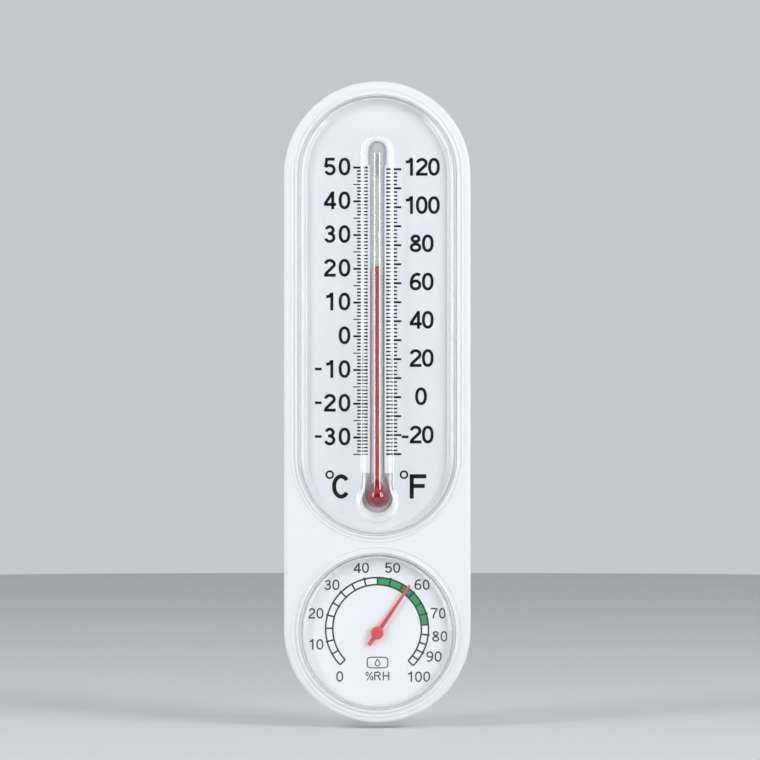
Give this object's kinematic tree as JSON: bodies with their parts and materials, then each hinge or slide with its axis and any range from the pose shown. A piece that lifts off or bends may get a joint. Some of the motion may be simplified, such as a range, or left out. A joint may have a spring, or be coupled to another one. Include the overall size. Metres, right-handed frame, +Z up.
{
  "type": "dial hygrometer",
  "caption": "Wall instrument in a long round-ended case: a red spirit thermometer tube on a printed scale above a round humidity dial with a pointer.",
  "frame": {"origin": "centre of the keyhole's round upper end in the wall plane, where the shank of the wall screw rests", "axes": "+Z up along the case, +X to the reader's right, +Y into the wall, so the front faces -Y"},
  "size_m": [0.065, 0.0159, 0.2235],
  "materials": {
    "case_white": "smooth moulded white plastic",
    "cover_white": "fine spark-eroded white plastic",
    "screw_steel": "plated",
    "scale_white": "printed satin white",
    "clear_cover": "clear moulded plastic",
    "carrier_grey": "matt grey",
    "tube_glass": "polished clear glass",
    "red_spirit": "dyed liquid",
    "dial_white": "printed satin white",
    "movement_brass": "stamped and turned",
    "coil_strip": "coated strip",
    "shaft_steel": "drawn wire",
    "pointer_red": "red enamel"
  },
  "bodies": {
    "instrument": {"front_case": "case_white", "back_cover": "cover_white", "cover_screw_left": "screw_steel", "cover_screw_right": "screw_steel", "scale_plate": "scale_white", "scale_window": "clear_cover", "tube_carrier": "carrier_grey", "glass_tube": "tube_glass", "spirit_bulb_fill": "red_spirit", "spirit_thread": "red_spirit", "dial_lens": "clear_cover", "dial_plate": "dial_white", "movement_bridge": "movement_brass", "bridge_screw_left": "screw_steel", "bridge_screw_right": "screw_steel", "front_bush": "movement_brass", "rear_bush": "movement_brass", "humidity_coil": "coil_strip", "coil_anchor": "movement_brass"},
    "pointer_set": {"pointer": "pointer_red", "pointer_shaft": "shaft_steel", "coil_collet": "movement_brass"},
    "spirit_top": {"spirit_meniscus": "red_spirit"}
  },
  "joints": [
    {"name": "pointer_turn", "type": "hinge", "parent": "instrument", "child": "pointer_set", "pos_m": [0, -0.0103, -0.18305], "axis": [0, 1, 0], "range_deg": [-164.6, 97.9], "stiffness_Nm_per_rad": 0.0002, "deforming": ["humidity_coil"]},
    {"name": "spirit_level", "type": "slide", "parent": "instrument", "child": "spirit_top", "axis": [0, 0, 1], "range_m": [-0.0653, 0.0345], "deforming": ["spirit_thread"]}
  ]
}
